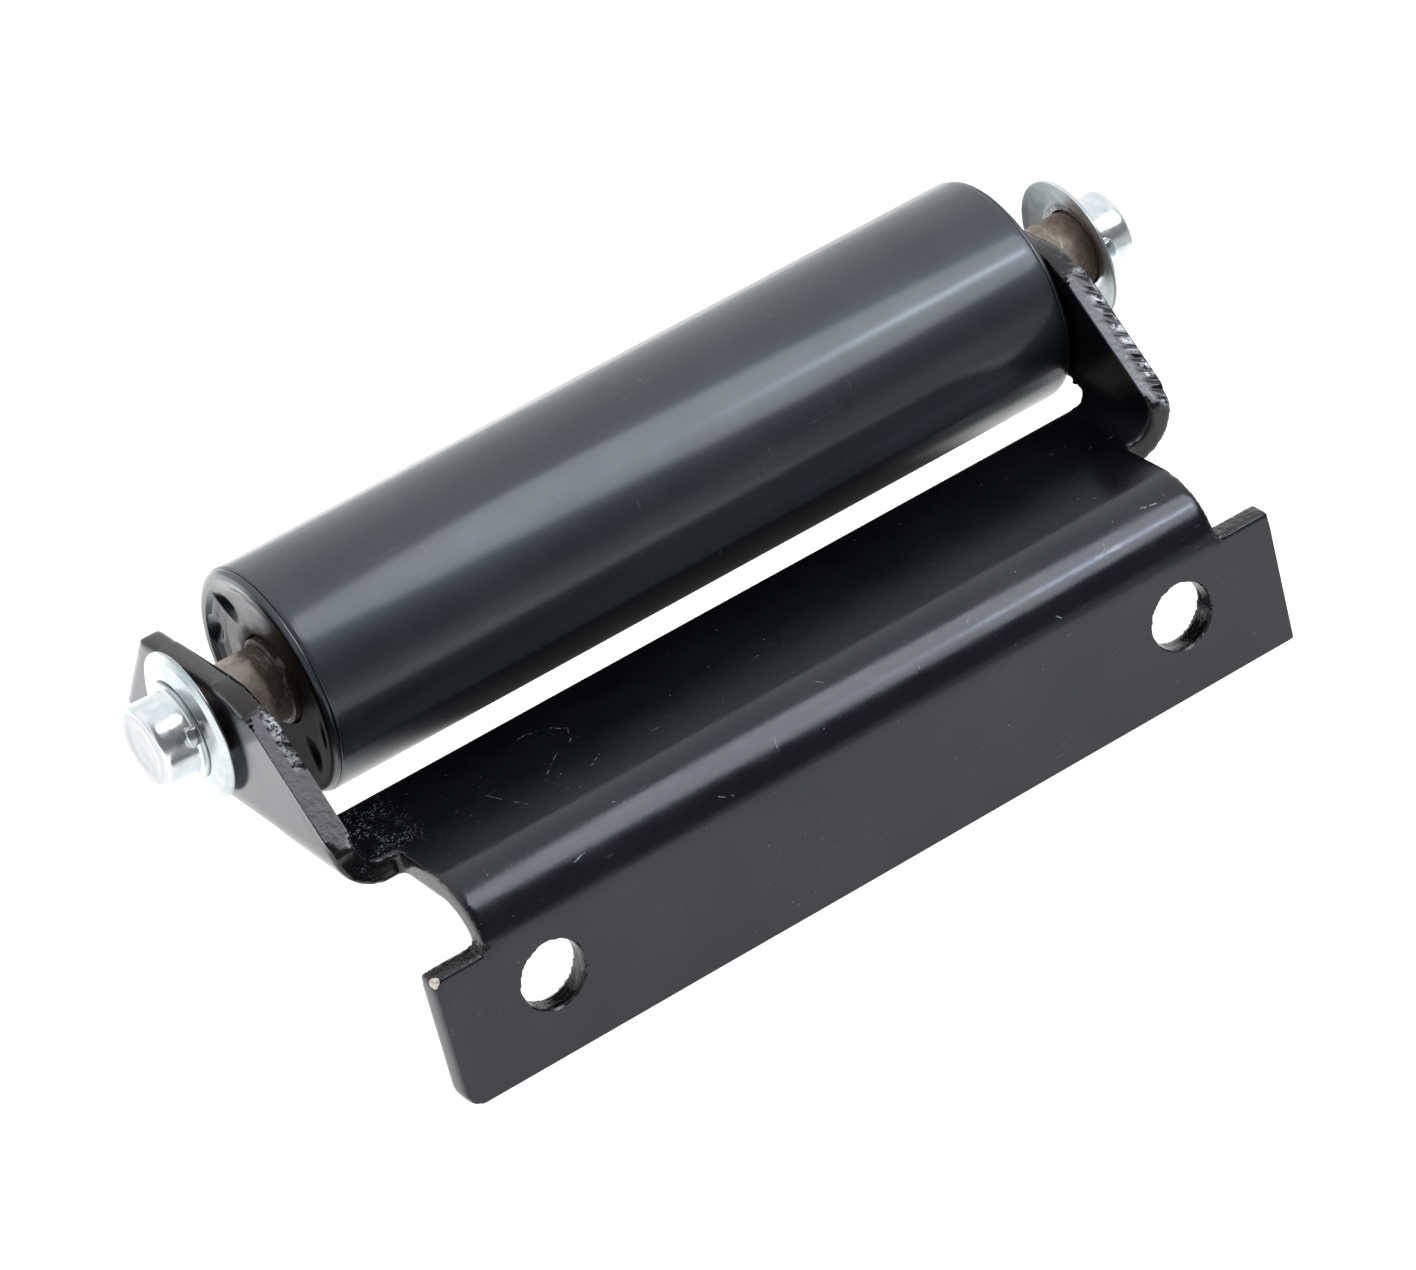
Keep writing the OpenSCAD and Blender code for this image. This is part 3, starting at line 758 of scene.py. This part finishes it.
def roller_paint():
    g = Graph("roller_paint")
    s = g.shader
    s.inputs["IOR"].default_value = 1.5
    flat = g.around_axle()
    haze = g.noise(34, 4)
    cloud = g.noise(9, 4, where=flat, shift=9)
    slant = g.vector("MULTIPLY", flat, (0.22, 3.2, 1))
    rub = g.band(g.noise(2.2, 3, where=slant, shift=2), 0.66, 0.74)
    cross = g.vector("MULTIPLY", flat, (2.6, 0.30, 1))
    tick = g.band(g.noise(2.4, 2, where=cross, shift=14), 0.69, 0.76)
    patch = g.band(g.noise(24, 2, where=flat, shift=31), 0.50, 0.64)
    lines = g.math("MULTIPLY", g.math("MAXIMUM", rub, tick), patch)
    dust = g.math("MULTIPLY", specks(g, 3.0, 0.16, 0.15), g.band(haze, 0.40, 0.62))
    light = g.math("MAXIMUM", g.math("MULTIPLY", lines, 0.5), dust, clamp=True)
    base = g.mix(g.fit(haze, 0, 1), (0.0030, 0.0033, 0.0044), (0.0050, 0.0056, 0.0074))
    colour = g.mix(g.math("MULTIPLY", light, 0.22), base, (0.30, 0.33, 0.38))
    split = g.tree.nodes.new("ShaderNodeSeparateXYZ")
    g.put(split.inputs[0], flat)
    arc, radius = split.outputs["Y"], split.outputs["Z"]
    inside_rim = g.band(g.math("ADD", radius, g.math("MULTIPLY", g.noise(5, 4, shift=6), 3.0)), 27.0, 24.0)
    # painted shade: all round the end cups' rim and face, except at the upper back where the highlight falls, the
    # paint is turned near black, rough and almost without shine
    painted_shade_side = g.band(g.math("ABSOLUTE", g.math("SUBTRACT", arc, 21)), 26, 42)
    painted_shade_side = g.math("MULTIPLY", painted_shade_side, g.band(radius, 29.3, 28.6))
    near_hub = g.band(g.math("ADD", radius, g.math("MULTIPLY", g.noise(3, 4, shift=3), 4.0)), 18.5, 14.0)
    # the painted shade together with the brown grime on the face near the hub
    grease_and_painted_shade = g.math("MAXIMUM", painted_shade_side, g.math("MULTIPLY", inside_rim, near_hub))
    near = g.band(radius, 23, 14)
    grime = g.mix(g.fit(g.noise(2.4, 4, shift=27), 0, 1), (0.0012, 0.0010, 0.0009), (0.0055, 0.0038, 0.0026))
    # painted light: near the hub the brown grime is made lighter on the upper side
    painted_light_top = g.math("MULTIPLY", near, g.band(g.math("ABSOLUTE", g.math("SUBTRACT", arc, 40)), 60, 25))
    grime = g.mix(g.math("MULTIPLY", painted_light_top, 0.6), grime, (0.042, 0.028, 0.019))
    g.put(s.inputs["Base Color"], g.mix(grease_and_painted_shade, colour, grime))
    g.put(s.inputs["Roughness"], g.mix_value(grease_and_painted_shade, g.mix_value(light, g.fit(cloud, 0.38, 0.46), 0.5), 0.62))
    g.put(s.inputs["Specular Tint"], g.mix(g.fit(cloud, 0, 1), (0.72, 0.85, 1.0), (0.80, 0.90, 1.0)))
    face = g.math("MULTIPLY", inside_rim, 0.6)
    gloss = g.mix_value(face, g.fit(haze, 0.47, 0.53), 0.10)
    g.put(s.inputs["Specular IOR Level"], g.mix_value(grease_and_painted_shade, gloss, 0.03))
    coat_weight = g.mix_value(face, g.fit(haze, 0.55, 0.65), 0.25)
    g.put(s.inputs["Coat Weight"], g.mix_value(grease_and_painted_shade, coat_weight, 0.03))
    s.inputs["Coat Roughness"].default_value = 0.16
    turning = g.noise(0.5, 2, where=flat, stretch=(1, 0.06, 1))
    g.bump([
        (g.noise(1.3, 2), 0.006), (g.noise(6, 2), 0.022), (g.noise(0.3, 1), 0.0012),
        (turning, 0.0022), (light, -0.006),
    ])
    return g.mat


def axle_steel(name, dark, pale, rust):
    g = Graph(name)
    s = g.shader
    flat = g.around_axle()
    blotch = g.noise(3.4, 5, rough=0.62)
    fine = g.noise(0.5, 4, rough=0.7, shift=3)
    colour = g.mix(g.band(blotch, 0.30, 0.70), dark, pale)
    colour = g.mix(g.math("MULTIPLY", g.band(g.noise(2.2, 4, shift=8), 0.58, 0.72), 0.45), colour, rust)
    colour = g.mix(g.math("MULTIPLY", g.band(fine, 0.56, 0.70), 0.35), colour, pale)
    split = g.tree.nodes.new("ShaderNodeSeparateXYZ")
    g.put(split.inputs[0], g.place)
    shade = g.noise(3.0, 3, shift=15)
    along = g.math("ADD", split.outputs["X"], g.math("MULTIPLY", shade, 3.0))
    # darker brown from about x -107 to 121
    darker_stretch = g.math("MULTIPLY", g.band(along, -107.5, -105.8), g.band(along, 123, 121))
    colour = g.mix(g.math("MULTIPLY", darker_stretch, 0.8), colour, (0.035, 0.022, 0.014))
    colour = g.mix(g.math("MULTIPLY", g.band(along, 121, 124), 0.58), colour, (0.070, 0.052, 0.034))
    colour = g.mix(g.math("MULTIPLY", g.band(along, -107, -109), 0.30), colour, (0.52, 0.47, 0.43))
    # painted glints: pale streaks running round the axle
    streak = g.noise(1.6, 3, where=flat, stretch=(1, 0.12, 1), shift=19)
    colour = g.mix(g.math("MULTIPLY", g.band(streak, 0.56, 0.66), 0.35), colour, (0.50, 0.46, 0.42))
    colour = g.mix(g.math("MULTIPLY", g.band(along, 135.5, 138), 0.45), colour, (0.11, 0.045, 0.028))
    g.put(s.inputs["Base Color"], colour)
    s.inputs["Metallic"].default_value = 0.35
    g.put(s.inputs["Roughness"], g.fit(g.noise(1.4, 3, shift=4), 0.42, 0.62))
    draw = g.noise(0.8, 3, where=flat, stretch=(0.12, 1, 1))
    g.bump([(fine, 0.05), (blotch, 0.10), (draw, 0.02)])
    return g.mat


def bearing_steel():
    g = Graph("bearing_steel")
    s = g.shader
    stain = g.noise(2.5, 4)
    g.put(s.inputs["Base Color"], g.mix(g.band(stain, 0.45, 0.7), (0.56, 0.56, 0.58), (0.34, 0.29, 0.25)))
    s.inputs["Metallic"].default_value = 1.0
    g.put(s.inputs["Roughness"], g.fit(g.noise(1.0, 3), 0.16, 0.34))
    g.bump([(g.noise(0.35, 2), 0.004), (stain, 0.012)])
    return g.mat


def shield_plastic():
    g = Graph("shield_plastic")
    s = g.shader
    grime = g.noise(3.0, 5, rough=0.6)
    g.put(s.inputs["Base Color"], g.mix(g.band(grime, 0.38, 0.64), (0.018, 0.016, 0.015), (0.085, 0.062, 0.046)))
    g.put(s.inputs["Roughness"], g.fit(g.noise(1.2, 3), 0.45, 0.72))
    g.bump([(g.noise(0.5, 3), 0.02), (grime, 0.05)])
    return g.mat


def zinc_plate():
    g = Graph("zinc_plate")
    s = g.shader
    cloud = g.noise(4.5, 3)
    tint = g.noise(7, 3, shift=12)
    colour = g.mix(g.band(cloud, 0.38, 0.64), (0.355, 0.385, 0.395), (0.415, 0.430, 0.435))
    colour = g.mix(g.math("MULTIPLY", g.band(tint, 0.50, 0.68), 0.6), colour, (0.27, 0.37, 0.385))
    flat = g.around_axle()
    split = g.tree.nodes.new("ShaderNodeSeparateXYZ")
    g.put(split.inputs[0], flat)
    radius = split.outputs["Z"]
    # painted light: the caps' round sides get a brighter zinc than their ends
    side = g.math("MULTIPLY", g.band(radius, 10.1, 10.5), g.band(radius, 11.9, 11.4))
    colour = g.mix(side, colour, g.mix(g.band(cloud, 0.38, 0.64), (0.56, 0.61, 0.63), (0.68, 0.70, 0.71)))
    # darker towards the centre of each cap's end
    colour = g.mix(g.band(radius, 10.0, 8.8), colour, (0.262, 0.268, 0.28))
    # painted light: faces turned towards the ear, out past the caps' sides, get a paler and rougher zinc
    normal = g.tree.nodes.new("ShaderNodeNewGeometry").outputs["Normal"]
    inward = g.vector("DOT_PRODUCT", normal, g.vector("MULTIPLY", g.place, (-1, 0, 0)), "Value")
    painted_light_dish = g.math("MULTIPLY", g.band(inward, 20, 70), g.band(radius, 11.5, 13.0))
    colour = g.mix(painted_light_dish, colour, g.mix(g.band(cloud, 0.38, 0.64), (0.60, 0.68, 0.69), (0.76, 0.80, 0.80)))
    g.put(s.inputs["Base Color"], colour)
    s.inputs["Metallic"].default_value = 1.0
    rough = g.mix_value(painted_light_dish, g.fit(g.noise(2.2, 4, shift=6), 0.14, 0.26), 0.48)
    g.put(s.inputs["Roughness"], rough)
    turning = g.noise(0.5, 2, where=flat, stretch=(1, 0.08, 1))
    g.bump([(g.noise(1.5, 3), 0.022), (g.noise(0.4, 2), 0.005), (turning, 0.004)])
    return g.mat


paints = {
    "bracket_paint": bracket_paint(),
    "roller_paint": roller_paint(),
    "bare_axle_steel": axle_steel("bare_axle_steel", (0.24, 0.190, 0.155), (0.50, 0.420, 0.360), (0.24, 0.130, 0.080)),
    # the inner races use the axle's steel made far darker: partly rust, partly painted shade for the recess they sit
    # in
    "race_steel": axle_steel("race_steel", (0.040, 0.027, 0.018), (0.13, 0.095, 0.068), (0.10, 0.045, 0.022)),
    "bearing_steel": bearing_steel(),
    "shield_plastic": shield_plastic(),
    "zinc_plate": zinc_plate(),
}


def coat(obj, slot):
    obj.data.materials.clear()
    obj.data.materials.append(paints[slot])


coat(bracket, "bracket_paint")
coat(tube, "roller_paint")
coat(axle, "bare_axle_steel")
for cup in cups.values():
    coat(cup, "roller_paint")
for piece in caps:
    coat(piece, "zinc_plate")
carried_over = {
    "inner_race_": "race_steel", "outer_race_": "bearing_steel",
    "ball_set_": "bearing_steel", "dust_shield_": "shield_plastic",
}
for end in ("left", "right"):
    for node, slot in carried_over.items():
        obj = nodes[node + end]
        for i in range(len(obj.material_slots)):
            obj.material_slots[i].material = paints[slot]


# ---------------------------------------------------------------- floor, light and camera

def build_floor():
    low = bracket_low.z * MM
    mesh = bpy.data.meshes.new("floor")
    reach = 4.0
    corners = [(-reach, -reach, low), (reach, -reach, low), (reach, reach, low), (-reach, reach, low)]
    mesh.from_pydata(corners, [], [(0, 1, 2, 3)])
    obj = bpy.data.objects.new("floor", mesh)
    scene.collection.objects.link(obj)
    g = Graph("glowing_floor_with_painted_shadows")
    s = g.shader
    s.inputs["Roughness"].default_value = 0.9
    # distances in millimetres: to the front right, to the rear left, along X as the camera sees it, and along Y
    front = g.vector("DOT_PRODUCT", g.place, (0.78, -0.63, 0), "Value")
    rear_left = g.vector("DOT_PRODUCT", g.place, (-0.8, 0.6, 0), "Value")
    under = g.vector("DOT_PRODUCT", g.place, (1, -0.493, 0), "Value")
    back = g.vector("DOT_PRODUCT", g.place, (0, 1, 0), "Value")
    # painted light: the floor glows as a light, at 1.2 near the model, down to 0.3 far off to the front right, and 0.8
    # more to the rear left
    near_glow, front_glow, rear_extra, painted_shadow_strength = 1.2, 0.3, 0.8, 0.965
    glow = g.mix_value(g.band(front, 150, 230), near_glow, front_glow)
    glow = g.math("ADD", glow, g.math("MULTIPLY", g.band(rear_left, 130, 270), rear_extra))
    # painted shadows: dark zones the camera cannot see, which the underside of the roller reflects as black
    far_side = g.band(under, 80, 52)
    near_side = g.math("MULTIPLY", g.band(under, 120, 98), g.band(back, 78, 68))
    across = g.math("MULTIPLY", g.band(under, -125, -90), g.math("MAXIMUM", far_side, near_side))
    beneath = g.math("MULTIPLY", g.band(back, 4, 26), g.band(back, 139, 134))
    behind = g.math("MULTIPLY", g.band(back, 149.5, 152.5), g.band(back, 172, 160))
    dark = g.math("MULTIPLY", g.math("MAXIMUM", beneath, behind), g.math("MULTIPLY", across, painted_shadow_strength))
    # the painted shadows are cut away where the floor shows through the two bolt holes, so it stays bright there
    for hole in ((-79, 35, bracket_low.z), (112, 35, bracket_low.z)):
        away = g.vector("LENGTH", g.vector("SUBTRACT", g.place, hole), out="Value")
        dark = g.math("MULTIPLY", dark, g.band(away, 15, 22))
    # the painted shadows darken the floor's colour as well as its glow
    g.put(s.inputs["Base Color"], g.mix(dark, (0.25, 0.25, 0.25), (0.02, 0.02, 0.02)))
    glow = g.math("MULTIPLY", glow, g.math("SUBTRACT", 1.0, dark))
    g.put(s.inputs["Emission Strength"], glow)
    s.inputs["Emission Color"].default_value = (1, 1, 1, 1)
    mesh.materials.append(g.mat)


def build_world():
    world = bpy.data.worlds.new("studio")
    scene.world = world
    world.use_nodes = True
    tree = world.node_tree
    back = tree.nodes["Background"]
    coord = tree.nodes.new("ShaderNodeTexCoord")
    split = tree.nodes.new("ShaderNodeSeparateXYZ")
    tree.links.new(coord.outputs["Generated"], split.inputs[0])
    ramp = tree.nodes.new("ShaderNodeMapRange")
    ramp.interpolation_type = "SMOOTHSTEP"
    ramp.inputs["From Min"].default_value = -0.62
    ramp.inputs["From Max"].default_value = 0.05
    ramp.inputs["To Min"].default_value = 0.25
    ramp.inputs["To Max"].default_value = 1.3
    tree.links.new(split.outputs["Y"], ramp.inputs["Value"])
    tree.links.new(ramp.outputs["Result"], back.inputs["Strength"])
    back.inputs["Color"].default_value = (0.97, 0.985, 1.0, 1)


def direction(azimuth, elevation):
    """Unit vector; azimuth turns from +Y towards +X."""
    a, e = math.radians(azimuth), math.radians(elevation)
    return Vector((math.sin(a) * math.cos(e), math.cos(a) * math.cos(e), math.sin(e)))


def softbox(name, azimuth, elevation, distance, width, height, tilt, radiance, colour):
    """Rectangular lamp aimed at the model. tilt turns it about its own line of aim."""
    light = bpy.data.lights.new(name, "AREA")
    light.shape = "RECTANGLE"
    light.size, light.size_y = width, height
    light.energy = radiance * math.pi * width * height
    light.color = colour
    obj = bpy.data.objects.new(name, light)
    scene.collection.objects.link(obj)
    towards = direction(azimuth, elevation)
    level = (Vector((1, 0, 0)) - towards * towards.x).normalized()
    rise = towards.cross(level)
    a = math.radians(tilt)
    wide = level * math.cos(a) + rise * math.sin(a)
    tall = rise * math.cos(a) - level * math.sin(a)
    axes = Matrix((wide, tall, towards)).transposed().to_4x4()
    obj.matrix_world = Matrix.Translation(Vector((0, 0.05, 0.03)) + towards * distance) @ axes
    obj.visible_camera = False


build_floor()
build_world()
softbox("key", 137.7, 51.8, 0.6, 0.46, 0.342, -40, 5.0, (0.93, 0.965, 1.0))
softbox("streak", 137.0, 44.7, 1.265, 0.12, 0.09, 0, 20.0, (0.72, 0.84, 1.0))

camera = bpy.data.cameras.new("photo_view")
camera.sensor_width = 36
camera.lens = 174.27
camera.clip_start = 0.01
camera_obj = bpy.data.objects.new("photo_view", camera)
scene.collection.objects.link(camera_obj)
# the photo was taken with a long lens, from the left and above, and turned about its line of sight
AIM, REACH = Vector((-0.0276, 0.0094, 0.0561)), 1.6
ahead = direction(26.217, -30.611)
level = Vector((ahead.y, -ahead.x, 0)).normalized()
rise = level.cross(ahead)
roll = math.radians(-14.852)
right = level * math.cos(roll) + rise * math.sin(roll)
up = rise * math.cos(roll) - level * math.sin(roll)
turn = Matrix((right, up, -ahead)).transposed().to_4x4()
camera_obj.matrix_world = Matrix.Translation(AIM - ahead * REACH) @ turn
scene.camera = camera_obj
scene.view_settings.view_transform = "Standard"
